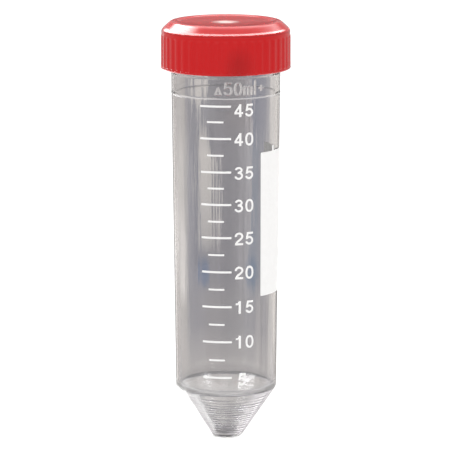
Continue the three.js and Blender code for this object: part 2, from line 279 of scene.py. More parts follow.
DIGITS = {"0": digit_0, "1": digit_1, "2": digit_2, "3": digit_3, "4": digit_4, "5": digit_5}

# ------------------------------------------------------------------ printed layer
INK_GAP = 0.012        # between barrel and ink
INK_THICKNESS = 0.05
INK_RIM_SHARE = 0.55   # thickness at the rim, as a share


def fill_outline(outline, bounds, cell):
    """A grid of quads over the inside of an outline, its rim drawn onto the outline.
    Gives the points, which of them are on the rim, and the quads."""
    left, bottom, right, top = bounds
    columns, rows = int(round((right - left) / cell)), int(round((top - bottom) / cell))
    grid_x, grid_y = np.meshgrid(np.linspace(left, right, columns + 1),
                                 np.linspace(bottom, top, rows + 1), indexing="ij")
    inside = outline((grid_x[:-1, :-1] + grid_x[1:, 1:]) / 2,
                     (grid_y[:-1, :-1] + grid_y[1:, 1:]) / 2) < 0
    # no two cells may meet at a corner only
    for _ in range(4):
        touching = inside[:-1, :-1] & inside[1:, 1:] & ~inside[1:, :-1] & ~inside[:-1, 1:]
        inside[1:, :-1] |= touching
        touching = inside[1:, :-1] & inside[:-1, 1:] & ~inside[:-1, :-1] & ~inside[1:, 1:]
        inside[:-1, :-1] |= touching
    cells_at = np.zeros(grid_x.shape, int)
    for i in (0, 1):
        for j in (0, 1):
            cells_at[i:i + columns, j:j + rows] += inside
    used = cells_at > 0
    rim = used & (cells_at < 4)

    # walk the rim points down the distance gradient
    probe = cell * 0.05
    x, y = grid_x, grid_y
    for _ in range(4):
        distance = outline(x, y)
        slope_x = (outline(x + probe, y) - outline(x - probe, y)) / (2 * probe)
        slope_y = (outline(x, y + probe) - outline(x, y - probe)) / (2 * probe)
        steep = np.maximum(slope_x * slope_x + slope_y * slope_y, 0.25)
        step_x = np.clip(distance * slope_x / steep, -cell, cell) * 0.9
        # the y step is measured at the x already moved
        new_x = np.where(rim, x - step_x, x)
        step_y = np.clip(distance * slope_y / steep, -cell, cell) * 0.9
        x, y = new_x, np.where(rim, y - step_y, y)

    index = -np.ones(grid_x.shape, int)
    index[used] = np.arange(used.sum())
    quads = [(index[i, j], index[i + 1, j], index[i + 1, j + 1], index[i, j + 1])
             for i, j in zip(*np.nonzero(inside))]
    return np.stack([x[used], y[used]], 1), rim[used], quads


def add_ink(part, outline, bounds, cell, place):
    """A thin layer wrapped on the barrel; place(x, y) gives azimuth and height."""
    flat, rim, quads = fill_outline(outline, bounds, cell)
    count = len(flat)
    azimuth, z = place(flat[:, 0], flat[:, 1])
    top = np.where(rim, INK_GAP + INK_THICKNESS * INK_RIM_SHARE, INK_GAP + INK_THICKNESS)
    points = np.vstack([around(barrel_radius(z) + lift, azimuth, z)
                        for lift in (np.full(count, INK_GAP), top)])
    faces = [tuple(reversed(quad)) for quad in quads]
    faces += [tuple(i + count for i in quad) for quad in quads]
    open_edges = {}
    for quad in quads:
        for i in range(4):
            start, end = quad[i], quad[(i + 1) % 4]
            if (end, start) in open_edges:
                del open_edges[(end, start)]
            else:
                open_edges[(start, end)] = True
    faces += [(start, end, end + count, start + count) for start, end in open_edges]
    register(make_solid("ink_" + part, points, faces), INK, "tube", part)


# ------------------------------------------------------------------ node helpers
class Graph:
    """Builds the node tree of a material or world. Colours are three numbers."""

    def __init__(self, owner, output="OutputMaterial"):
        self.owner = owner
        owner.use_nodes = True
        self.tree = owner.node_tree
        self.tree.nodes.clear()
        self.output = self.node(output)

    def feed(self, socket, value):
        if isinstance(value, bpy.types.NodeSocket):
            self.tree.links.new(value, socket)
        elif socket.type == "RGBA":
            socket.default_value = (*value, 1)
        else:
            socket.default_value = value

    def node(self, kind, inputs=None, **settings):
        node = self.tree.nodes.new("ShaderNode" + kind)
        for key, value in settings.items():
            setattr(node, key, value)
        for key, value in (inputs or {}).items():
            self.feed(node.inputs[key], value)
        return node

    def value(self, kind, inputs=None, **settings):
        """A new node's first output."""
        return self.node(kind, inputs, **settings).outputs[0]

    def surface(self, shader):
        self.feed(self.output.inputs["Surface"], shader)

    def object_coord(self):
        return self.node("TexCoord").outputs["Object"]

    def coord(self, stretch=(1, 1, 1)):
        return self.value("Mapping", {"Scale": stretch, "Vector": self.object_coord()})

    def noise(self, stretch=(1, 1, 1), scale=1.0, detail=3.0, roughness=0.5):
        return self.value("TexNoise", {"Scale": scale, "Detail": detail, "Roughness": roughness,
                                       "Vector": self.coord(stretch)})

    def ramp(self, factor, stops):
        """Colour ramp through stops of (position, colour)."""
        node = self.node("ValToRGB", {"Fac": factor})
        elements = node.color_ramp.elements
        while len(elements) > 1:
            elements.remove(elements[-1])
        for i, (position, color) in enumerate(stops):
            element = elements.new(position) if i else elements[0]
            element.position = position
            element.color = (*color, 1)
        return node.outputs["Color"]

    def math(self, operation, first, second=None, clamp=False):
        inputs = {0: first} if second is None else {0: first, 1: second}
        return self.value("Math", inputs, operation=operation, use_clamp=clamp)

    def add(self, first, second, clamp=False):
        return self.math("ADD", first, second, clamp)

    def sub(self, first, second):
        return self.math("SUBTRACT", first, second)

    def mul(self, first, second, clamp=False):
        return self.math("MULTIPLY", first, second, clamp)

    def div(self, first, second):
        return self.math("DIVIDE", first, second)

    def length(self, *parts):
        total, *rest = [self.math("POWER", part, 2.0) for part in parts]
        for square in rest:
            total = self.add(total, square)
        return self.math("SQRT", total)

    def remap(self, value, start, end, low=0.0, high=1.0):
        """low at start, high at end, straight between and held outside."""
        return self.value("MapRange", {"Value": value, "From Min": start, "From Max": end,
                                       "To Min": low, "To Max": high})

    def mix(self, factor, first, second):
        return self.node("Mix", {0: factor, 6: first, 7: second}, data_type="RGBA").outputs[2]

    def bump(self, height, strength, distance, normal=None):
        inputs = {"Strength": strength, "Distance": distance, "Height": height}
        if normal is not None:
            inputs["Normal"] = normal
        return self.value("Bump", inputs)

    def separate(self, vector):
        return tuple(self.node("SeparateXYZ", {0: vector}).outputs)

    def scaled(self, vector, factor):
        return self.value("VectorMath", {0: vector, "Scale": factor}, operation="SCALE")

    def emission(self, color, strength):
        return self.value("Emission", {"Color": color, "Strength": strength})


def material_graph(name):
    return Graph(bpy.data.materials.new(name))


def srgb(*levels):
    """Linear colour from 0-255 display levels."""
    def linear(level):
        level = level / 255
        return level / 12.92 if level <= 0.04045 else ((level + 0.055) / 1.055) ** 2.4
    return tuple(linear(level) for level in levels)


# ------------------------------------------------------------------ materials
def clear_plastic():
    mat = material_graph("clear_polystyrene")
    fine = mat.noise(scale=900.0, detail=2.0)
    flow = mat.noise(stretch=(260, 260, 9), detail=4.0, roughness=0.6)
    scuff = mat.noise(stretch=(120, 120, 60), detail=6.0, roughness=0.7)
    ripples = mat.bump(flow, strength=0.25, distance=0.0002)
    clear = mat.value("BsdfPrincipled", {
        "IOR": 1.58,
        "Transmission Weight": 1.0,
        "Roughness": mat.remap(scuff, 0.5, 0.8, high=0.08),
        "Base Color": mat.mix(mat.remap(flow, 0.3, 0.7),
                              (0.985, 0.985, 0.985), (0.965, 0.967, 0.972)),
        "Normal": mat.bump(fine, strength=0.02, distance=0.0001, normal=ripples)})
    # crisp moulded edges and the finest scuffs scatter a little light
    frost = mat.node("Attribute", attribute_name="frost").outputs["Fac"]
    specks = mat.noise(scale=2300.0, detail=5.0, roughness=0.7)
    speck = mat.remap(specks, 0.68, 0.76, high=0.16)
    haze = mat.remap(scuff, 0.35, 0.75, low=0.004, high=0.03)
    total = mat.add(mat.add(frost, speck), haze, clamp=True)
    matt = mat.value("BsdfDiffuse", {"Color": (0.93, 0.92, 0.915)})
    mat.surface(mat.value("MixShader", {0: total, 1: clear, 2: matt}))
    return mat.owner


def red_plastic():
    """Lengths are in metres, in the cap's object space."""
    mat = material_graph("red_polyethylene")
    blot = mat.noise(stretch=(60, 60, 40), detail=4.0, roughness=0.55)
    grain = mat.noise(scale=1600.0)
    flow = mat.noise(stretch=(300, 300, 30))
    base = mat.mix(mat.remap(blot, 0.3, 0.7), (0.575, 0.0115, 0.0135), (0.610, 0.0140, 0.0160))
    x, y, z = mat.separate(mat.object_coord())
    # painted highlight: a pale pinkish-white spot on the gate dimple at the middle of the top
    from_axis = mat.length(x, y)
    wobble = mat.remap(mat.noise(scale=900.0), 0.3, 0.7, low=-0.0004, high=0.0004)
    painted_gate_highlight = mat.remap(mat.add(from_axis, wobble), 0.0043, 0.0015, high=0.86)
    on_top = mat.remap(z, 0.1143, 0.1145)
    base = mat.mix(mat.mul(painted_gate_highlight, on_top, clamp=True), base, (0.98, 0.80, 0.75))
    # a faint dull patch on the front of the skirt where it has been handled
    patch_x = mat.mul(mat.sub(x, 0.0036), 1.0)
    patch_z = mat.mul(mat.sub(z, 0.1047), 0.75)
    patch = mat.remap(mat.length(patch_x, patch_z), 0.0012, 0.0046, low=0.30, high=0.0)
    dull = mat.mul(patch, mat.remap(y, -0.004, -0.012), clamp=True)
    base = mat.mix(dull, base, (0.20, 0.010, 0.010))
    # painted shade: a darker band in the groove under the shoulder
    painted_groove_shade = mat.mul(mat.remap(z, 0.11250, 0.11264),
                     mat.remap(z, 0.11292, 0.11278, high=0.55), clamp=True)
    base = mat.mix(painted_groove_shade, base, (0.30, 0.008, 0.009))
    ripples = mat.bump(flow, strength=0.05, distance=0.0002)
    mat.surface(mat.value("BsdfPrincipled", {
        "Base Color": base,
        "Roughness": mat.remap(blot, 0.3, 0.7, low=0.10, high=0.15),
        "IOR": 1.5,
        "Subsurface Weight": 0.08,
        "Subsurface Radius": (0.002, 0.0004, 0.0004),
        "Subsurface Scale": 0.5,
        "Normal": mat.bump(grain, strength=0.06, distance=0.00004, normal=ripples)}))
    return mat.owner


def white_ink():
    mat = material_graph("white_print_ink")
    blot = mat.noise(scale=700.0, detail=4.0, roughness=0.6)
    grain = mat.noise(scale=4200.0, detail=2.0)
    mat.surface(mat.value("BsdfPrincipled", {
        "Base Color": mat.mix(mat.remap(blot, 0.35, 0.65),
                              (0.945, 0.945, 0.94), (0.975, 0.975, 0.97)),
        "Roughness": mat.remap(blot, 0.3, 0.7, low=0.45, high=0.62),
        "Normal": mat.bump(grain, strength=0.15, distance=0.00002)}))
    return mat.owner


def liner_foam():
    mat = material_graph("liner_foam")
    cells = mat.value("TexVoronoi", {"Scale": 2600.0, "Vector": mat.coord()})
    blot = mat.noise(scale=300.0)
    mat.surface(mat.value("BsdfPrincipled", {
        "Base Color": mat.mix(mat.remap(blot, 0.3, 0.7), (0.78, 0.75, 0.68), (0.86, 0.84, 0.78)),
        "Roughness": 0.8,
        "Normal": mat.bump(cells, strength=0.4, distance=0.00006)}))
    return mat.owner


CLEAR, RED, INK, FOAM = clear_plastic(), red_plastic(), white_ink(), liner_foam()

# ------------------------------------------------------------------ moulded marks on the tube
# Raised marks above the ring: x along the wall from the front, y up, in mm.
MOULD_LEFT, MOULD_FOOT = -0.45, 97.0
MOULD_RADIUS = 14.7            # where x is measured
MOULD_HEIGHT = 0.14            # how far the marks stand out
MOULD_AZIMUTHS = (-14.0, 50.0)
MOULD_BAND = (96.45, 100.8)    # heights that carry marks
LETTER_HEIGHT = 3.2
# left edge, half stroke width, path
MOULD_MARKS = [
    # 5
    (0.0, 0.17, [(1.75, LETTER_HEIGHT), (0.45, LETTER_HEIGHT), (0.25, 1.75)]
     + ellipse_arc(1.0, 1.08, 0.95, 0.98, 130, -150, 20)),
    # 0
    (2.75, 0.17, ellipse_arc(1.0, LETTER_HEIGHT / 2, 0.88, LETTER_HEIGHT / 2, 0, 360, 36)),
    # m
    (5.45, 0.17, [(0.1, 0), (0.1, 2.2)]),
    (5.45, 0.17, ellipse_arc(0.62, 1.62, 0.52, 0.56, 180, 0, 12) + [(1.14, 0)]),
    (5.45, 0.17, ellipse_arc(1.66, 1.62, 0.52, 0.56, 180, 0, 12) + [(2.18, 0)]),
    # l
    (8.55, 0.17, [(0.1, 0), (0.1, 3.4)]),
    # plus on the right, triangle on the left
    (10.1, 0.17, [(0, 1.5), (1.1, 1.5)]),
    (10.65, 0.17, [(0, 0.95), (0, 2.05)]),
    (-2.4, 0.13, [(0, 0.1), (1.5, 0.1), (0.75, 1.9), (0, 0.1)]),
]


def mould_height(azimuths, z):
    along = np.radians(azimuths) * MOULD_RADIUS
    distance = np.full(along.shape, 1e9)
    for offset, half_width, path in MOULD_MARKS:
        placed = [(MOULD_LEFT + offset + x, MOULD_FOOT + y) for x, y in path]
        distance = np.minimum(distance, path_distance(along, z, placed) - half_width)
    return MOULD_HEIGHT * smooth(1 - (distance + 0.05) / 0.18)


# ------------------------------------------------------------------ tube
RING_Z = 95.9  # raised ring under the moulded marks
BARREL_STATIONS = (18, 22, 28, 36, 44, 52, 60, 68, 76, 84)
# fine turned lines on the cone: height up the tube, how far they stand out
CONE_RINGS = [(1.85, 0.05), (2.5, 0.07), (3.3, 0.09), (4.15, 0.05), (5.0, 0.09),
              (5.7, 0.05), (6.35, 0.09), (7.1, 0.05), (7.75, 0.10), (8.6, 0.10),
              (9.3, 0.04), (10.0, 0.11), (10.8, 0.08), (11.7, 0.05), (12.7, 0.08)]


def tube_outside():
    """Profile (radius, z) from the middle of the tip up to the lip."""
    rows = [(0.0, 0.0), (0.75, 0.0)]
    rows += spline([(1.42, 0.0), (2.3, 0.045), (3.1, 0.16), (3.75, 0.38), (4.3, 0.74),
                    (TIP_RADIUS, TIP_Z)])
    rows += [(cone_radius(z), z) for z in np.arange(1.54, 13.9, 0.1)]
    rows += spline([(cone_radius(13.95), 13.95), (13.48, 14.18), (13.62, 14.45), (13.70, 14.85),
                    on_barrel(15.4)])
    rows += [on_barrel(z) for z in (*BARREL_STATIONS, 90, 94, 95.2)]
    rows += [on_barrel(z) for z in np.arange(95.45, 96.36, 0.06)]  # ring
    rows += [on_barrel(z) for z in np.arange(96.5, 100.75, 0.085)]  # moulded marks
    rows += [on_barrel(101.0)]
    rows += spline([on_barrel(101.15), (14.71, 101.35), (14.57, 101.55),
                    (NECK_RADIUS, 101.8)], steps=2)
    rows += [(NECK_RADIUS, z) for z in np.arange(102.0, 112.55, 0.14)]  # thread
    rows += profile_arc(NECK_RADIUS - 0.28, MOUTH_Z - 0.28, 0.28, 90, 0, 5)
    return rows


def tube_inside():
    """Profile (radius, z) from the lip down to the middle of the floor."""
    rows = profile_arc(MOUTH_RADIUS + 0.2, MOUTH_Z - 0.2, 0.2, 0, -90, 4)
    rows += [(MOUTH_RADIUS + 0.1 * (112 - z) / 12, z) for z in (112.0, 108.0, 104.0, 100.0)]
    rows += [on_barrel(z, WALL) for z in (96, 92, *reversed(BARREL_STATIONS), 17)]
    rows += reversed(spline([(12.37, 15.18), (12.51, 15.41), (12.575, 15.65),
                             on_barrel(16.1, WALL)]))
    top_radius, top_z = rows[-1]
    floor_radius, floor_z = 3.78, 2.05
    rows += [(top_radius + (floor_radius - top_radius) * t, top_z + (floor_z - top_z) * t)
             for t in np.linspace(0.06, 0.92, 12)]
    rows += spline([(floor_radius, floor_z), (3.3, 1.64), (2.5, 1.38), (1.4, 1.27), (0.6, 1.25)])
    rows += [(0.0, 1.25)]
    return rows


def is_inside(radius, z):
    """Whether a profile point lies on the inner surface of the wall."""
    if z <= 1.2:
        return False
    if z <= 16.2:
        return radius <= min(cone_radius(z), 13.7) - 0.6
    if z < 101:
        return radius < barrel_radius(z) - 0.9
    return radius < 14.2


def shape_tube(radius, z, azimuths):
    angle = np.radians(azimuths)
    if is_inside(radius, z):
        # slight run-out of the moulding core and sink along the flow
        wave = (0.018 * np.sin(2 * angle + 0.6) + 0.010 * np.sin(5 * angle + 0.02 * z)
                + 0.006 * np.sin(11 * angle - 0.03 * z + 1.0))
        return radius + wave * (smooth((z - 4) / 14) * smooth((112 - z) / 4))
    turned = (azimuths + 180) % 360 - 180
    if 1.6 < z < 13.4:
        face = 0.10 + 0.90 * smooth((turned + 48) / 40) * smooth((100 - turned) / 40)
        for i, (ring_z, height) in enumerate(CONE_RINGS):
            uneven = 0.55 + 0.45 * np.sin(angle + 1.9 * i) * np.sin(angle * 3.0 + 0.7 * i)
            radius = radius + height * face * uneven * smooth(1 - abs(z - ring_z) / 0.25)
        return radius + 0.01 * np.sin(3 * angle + z)
    if 95.4 < z < 96.4:
        return radius + 0.08 * smooth(1 - (abs(z - RING_Z) - 0.06) / 0.30)
    if MOULD_BAND[0] < z < MOULD_BAND[1]:
        marked = (turned > MOULD_AZIMUTHS[0]) & (turned < MOULD_AZIMUTHS[1])
        raised = np.zeros(azimuths.shape)
        raised[marked] = mould_height(turned[marked], z)
        return radius + raised
    if 101.9 < z < 112.5 and radius > 14.4:
        return radius + thread_ridge(TUBE_THREAD, azimuths, z)
    return radius


def paint_frost(mesh):
    """Point attribute: how much the moulded edges scatter light."""
    coords = np.empty(len(mesh.vertices) * 3)
    mesh.vertices.foreach_get("co", coords)
    x, y, z = (coords.reshape(-1, 3) / MM).T
    azimuth = np.degrees(np.arctan2(x, -y))
    outer = np.hypot(x, y) > barrel_radius(z) - 0.35
    from_ring = np.abs(z - RING_Z)
    ring = smooth(1 - (from_ring - 0.05) / 0.22)
    frost = np.where(outer & (from_ring < 0.5), 0.42 * ring, 0.0)
    marked = (outer & (z > MOULD_BAND[0]) & (z < MOULD_BAND[1])
              & (azimuth > MOULD_AZIMUTHS[0]) & (azimuth < MOULD_AZIMUTHS[1]))
    frost[marked] = 0.24 * mould_height(azimuth[marked], z[marked]) / MOULD_HEIGHT
    # the tip, then the foot of the barrel
    frost = np.maximum(frost, 0.12 * smooth((0.75 - z) / 0.6))
    frost = np.maximum(frost, 0.24 * smooth((z - 14.35) / 0.5) * smooth((16.5 - z) / 0.6))
    attribute = mesh.attributes.new("frost", "FLOAT", "POINT")
    attribute.data.foreach_set("value", frost.astype(np.float32))


def build_tube():
    # finer steps round the moulded marks
    first, last = MOULD_AZIMUTHS
    azimuths = np.concatenate([np.arange(first, last, 0.42), np.arange(last, 360 + first, 2.0)])
    tube = revolve("tube_shell", tube_outside() + tube_inside(), azimuths, shape_tube)
    paint_frost(tube.data)
    register(tube, CLEAR, "tube", "tube_body")


build_tube()

# ------------------------------------------------------------------ cap
RIB_PITCH = 360 / 45    # degrees
RIB_PITCH_LENGTH = 2.43  # the pitch along the skirt
CAP_RIM_Z = 115.3
# rim, rounding, chamfer and lower rounding: radius, downward slope in degrees
SHOULDER_SLOPES = [(13.9, 0), (14.3, 6), (14.7, 18), (15.05, 33), (15.35, 38), (15.8, 41),
                   (16.6, 43), (16.85, 46), (17.12, 52), (17.30, 62), (17.40, 76), (17.43, 87)]


def cap_rows():
    """Closed profile (radius, z): over the top, down the skirt, up the bore."""
    rows = [(0.0, 114.58), (0.35, 114.58), (0.6, 114.59)]
    rows += spline([(0.9, 114.60), (1.5, 114.66), (2.1, 114.76), (2.6, 114.83), (3.1, 114.86)])
    rows += [(4.0, 114.865), (5.0, 114.87), (6.0, 114.88), (7.0, 114.892), (8.0, 114.908),
             (9.0, 114.93), (10.0, 114.957), (11.0, 114.99), (11.6, 115.01)]
    rows += spline([(12.3, 115.03), (12.65, 115.09), (12.95, 115.2), (13.25, 115.28),
                    (13.6, CAP_RIM_Z)])
    z = CAP_RIM_Z
    rows.append((SHOULDER_SLOPES[0][0], z))
    for (start, slope), (end, end_slope) in zip(SHOULDER_SLOPES[:-1], SHOULDER_SLOPES[1:]):
        steps = max(2, int(math.ceil((end - start) / 0.1)))
        for i in range(1, steps + 1):
            t = (i - 0.5) / steps
            z -= math.tan(math.radians(slope + (end_slope - slope) * t)) * (end - start) / steps
            rows.append((start + (end - start) * i / steps, z))
    # skirt
    rows += [(17.42, z - 0.12), (17.41, z - 0.25)]
    rows += [(17.4, height) for height in np.arange(z - 0.4, 111.25, -0.15)] + [(17.4, 111.2)]
    rows += [(17.42, height) for height in (110.2, 109.0, 107.8, 106.6, 105.4, 104.4)]
    rows += [(17.44, height) for height in (103.9, 103.6, 103.4, 103.25, 103.1, 102.95)]
    # lower edge
    rows += profile_arc(17.1, 102.85, 0.5, 90, 180, 6)
    rows += [(16.6, 102.34), (16.35, 102.36)]
    rows += profile_arc(16.3, 102.62, 0.25, 180, 270, 4)
    # bore, then the seat of the liner
    rows += [(CAP_BORE, height) for height in (*np.arange(102.9, 110.6, 0.16),
                                               111.2, 112.0, 112.3)]
    rows += [(15.95, 112.42), (15.25, 112.72), (15.15, 112.85), (15.15, 113.5)]
    rows += profile_arc(15.0, 113.9, 0.15, 90, 0, 4)
    rows += [(radius, 114.05) for radius in (14.0, 10.0, 5.0, 1.0, 0.0)]
    return rows


def shape_cap(radius, z, azimuths):
    if radius > 16.9 and 102.2 < z < 111.8:
        off_rib = (azimuths / RIB_PITCH + 0.5) % 1.0 - 0.5
        rib = smooth(1 - (np.abs(off_rib) * RIB_PITCH_LENGTH - 0.30) / 0.66)
        fade = smooth((111.75 - z) / 0.5) * smooth((z - 102.8) / 0.6)
        return radius + (0.17 * rib - 0.06) * fade
    if abs(radius - CAP_BORE) < 1e-6 and 102.8 < z < 112:
        return radius - thread_ridge(CAP_THREAD, azimuths, z)
    return radius


cap = revolve("screw_cap_shell", cap_rows(), np.arange(0, 360, RIB_PITCH / 12), shape_cap)
register(cap, RED, "cap", "screw_cap")


# ------------------------------------------------------------------ liner
def build_liner():
    bottom, top = 113.0, 113.9
    rows = [(0.0, bottom), (8.0, bottom), (13.2, bottom)]
    rows += spline([(13.4, bottom), (13.6, 112.98), (14.3, 112.98), (14.6, bottom)], steps=2)
    rows += profile_arc(14.85, 113.15, 0.15, 180, 90, 4)
    rows += profile_arc(14.85, 113.75, 0.15, 90, 0, 4)
    rows += [(8.0, top), (0.0, top)]
    liner = revolve("cap_liner_disc", rows, np.arange(0, 360, 3.0))
    register(liner, FOAM, "liner", "cap_liner")


build_liner()

# ------------------------------------------------------------------ printed ink
# labelled marks: millilitres, height, how far the digits sit below the mark
MAJOR_MARKS = [(45, 93.9, 1.13), (40, 85.15, 0.21), (35, 76.05, 0.3), (30, 67.2, 0.34),
               (25, 58.15, 0.29), (20, 48.75, 0.24), (15, 39.15, 0.16), (10, 29.45, 0.08),
               (5, 19.55, 0.57)]
# plain marks: name, height
MINOR_MARKS = [("42_5", 89.65), ("37_5", 80.6), ("32_5", 71.65), ("27_5", 62.6),
               ("22_5", 53.45), ("17_5", 43.95), ("12_5", 34.25), ("07_5", 24.4)]
PRINT_SKEW = 1.2 / 74.4  # degrees the print leans for each mm down from the top mark
DIGIT_AZIMUTH = 8.6
DIGIT_ADVANCE = 2.98
LONE_DIGIT_SHIFT = 3.2   # degrees

PANEL_RADIUS = 14.4
PANEL_AZIMUTH = 40.0
PANEL_SKEW = 0.035       # degrees for each mm down
PANEL_BOTTOM, PANEL_TOP = 41.5, 80.9
PANEL_WIDTH = math.radians(88.0) * PANEL_RADIUS


def skew(z):
    return PRINT_SKEW * (93.9 - z)


def add_bar(part, z, azimuth, span, half_height):
    """A level bar that starts at an azimuth and spans some degrees."""
    radius = barrel_radius(z)
    width = math.radians(span) * radius

    def outline(x, y):
        return box(x, y, 0, -half_height, width, half_height, corner=0.12)

    def place(x, y):
        return azimuth + skew(z) + np.degrees(x / radius), z + y

    add_ink(part, outline, (-0.1, -0.4, width + 0.1, 0.4), 0.1, place)


def add_number(millilitres, z, drop):
    text = str(millilitres)
    middle = z - drop
    for i, character in enumerate(text):
        start = (DIGIT_AZIMUTH + skew(z) + (LONE_DIGIT_SHIFT if len(text) == 1 else 0)
                 + math.degrees(i * DIGIT_ADVANCE / barrel_radius(middle)))

        def place(x, y):
            return start + np.degrees(x / barrel_radius(z)), middle - DIGIT_HEIGHT / 2 + y

        column = "unit" if i == len(text) - 1 else "tens"
        add_ink("digit_%02d_%s_%s" % (millilitres, column, character),
                DIGITS[character], (-0.1, -0.15, 2.7, 3.7), 0.07, place)


def panel_outline(x, y):
    """A plain panel with a short upright tab on its top edge."""
    tab = math.radians(20.5) * PANEL_RADIUS
    return union(box(x, y, 0, PANEL_BOTTOM, PANEL_WIDTH, PANEL_TOP, corner=0.25),
                 box(x, y, tab - 0.42, 80.0, tab + 0.42, 82.4, corner=0.15))


def panel_place(x, y):
    return PANEL_AZIMUTH + PANEL_SKEW * (PANEL_TOP - y) + np.degrees(x / PANEL_RADIUS), y


for millilitres, z, drop in MAJOR_MARKS:
    add_bar("mark_%02d" % millilitres, z, azimuth=-27.9, span=33.3, half_height=0.285)
    add_number(millilitres, z, drop)
for key, z in MINOR_MARKS:
    add_bar("mark_" + key, z, azimuth=-20.4, span=17.9, half_height=0.255)
add_ink("writing_panel", panel_outline, (-0.2, 41.3, PANEL_WIDTH + 0.2, 82.6), 0.2, panel_place)


# ------------------------------------------------------------------ camera
def add_camera():
    """In front of the tube, looking slightly down, with a very slight roll."""
    data = bpy.data.cameras.new("camera")
    camera = add_object("camera", data)
    data.sensor_width = 36.0
    data.lens = 268.32
    data.clip_start, data.clip_end = 0.01, 20.0
    data.shift_x = -0.0021111
    down, roll = 10.38, -0.06  # degrees
    camera.location = (0, -0.900, 0.224)
    camera.rotation_mode = "QUATERNION"
    turn = (Matrix.Rotation(math.radians(90 - down), 4, "X")
            @ Matrix.Rotation(math.radians(roll), 4, "Z"))
    camera.rotation_quaternion = turn.to_quaternion()
    scene.camera = camera
    return camera


camera = add_camera()


# ------------------------------------------------------------------ stage
def add_sheet(name, corners):
    """A single flat face, in metres."""
    mesh = bpy.data.meshes.new(name)
    mesh.from_pydata(corners, [], [list(range(len(corners)))])
    return add_object(name, mesh)


def add_square(name, size):
    half = size / 2
    return add_sheet(name, [(-half, -half, 0), (half, -half, 0), (half, half, 0),
                            (-half, half, 0)])


def hide_from(item, *rays):
    for ray in rays:
        setattr(item, "visible_" + ray, False)


def floor_material():
    mat = material_graph("pale_floor")
    color = mat.mix(mat.noise(scale=30.0), (0.20, 0.20, 0.20), (0.24, 0.24, 0.24))
    matt = mat.value("BsdfDiffuse", {"Color": color})
    glow = mat.emission(color=(1, 1, 1), strength=0.92)
    mat.surface(mat.value("AddShader", {0: matt, 1: glow}))
    return mat.owner


floor = add_square("floor", 12.0)
floor.location = (0, 0, -0.0002)
floor.data.materials.append(floor_material())
hide_from(floor, "transmission", "glossy", "diffuse")

# ------------------------------------------------------------------ grey card
CARD_HALF = 80.0  # the streaks span this far either side of the middle
# upright streaks at three heights: x in mm, display colour
HIGH_STREAKS = [
    (-80, (190, 184, 181)), (-60, (168, 162, 161)), (-45, (180, 174, 171)),
    (-34, (144, 141, 147)), (-22, (140, 139, 147)), (-12, (143, 141, 146)),
    (-4, (133, 130, 135)), (8, (140, 135, 138)), (15.5, (148, 143, 147)),
    (17.5, (196, 189, 190)), (19.5, (124, 127, 142)), (31, (142, 141, 151)),
    (46, (164, 161, 166)), (80, (200, 195, 192))]
MIDDLE_STREAKS = [
    (-80, (206, 200, 196)), (-45, (195, 190, 187)), (-36, (176, 172, 174)),
    (-26, (144, 143, 152)), (-12, (146, 144, 150)), (-3, (135, 132, 138)),
    (2, (129, 127, 133)), (9, (143, 140, 145)), (16, (170, 167, 171)),
    (20, (130, 136, 150)), (30, (150, 149, 156)), (46, (168, 165, 168)),
    (80, (202, 197, 193))]
LOW_STREAKS = [
    (-80, (206, 200, 196)), (-60, (172, 166, 165)), (-42, (192, 187, 184)),
    (-30, (148, 146, 153)), (-10, (153, 149, 152)), (0, (145, 142, 145)),
    (8, (148, 145, 148)), (16, (168, 165, 168)), (20, (147, 145, 151)),
    (28, (170, 165, 166)), (40, (152, 149, 153)), (62, (176, 172, 173)),
    (80, (206, 201, 198))]
# the pale upright band: height in mm, then its edges (left of the middle, in 0.1 m) or power
BAND_LEFT = [(-24, 0.215), (30, 0.212), (38, 0.215), (46, 0.265), (60, 0.275)]
BAND_RIGHT = [(-24, 0.060), (22, 0.064), (31, 0.150), (38, 0.185), (46, 0.150), (60, 0.140)]
BAND_POWER = [(-24, 0.0), (-10, 0.05), (-6, 0.55), (4, 0.75), (24, 1.0), (31, 0.75),
              (38, 0.6), (46, 1.0), (60, 1.0)]
BAND_SOFTNESS = 0.0022
# bluish patches: centre x, centre y, half width, half height in mm, colour
CARD_PATCHES = [(-16.0, -16.5, 8.5, 6.5, (112, 123, 147)),
                (19.5, -15.5, 6.0, 7.0, (110, 124, 146))]


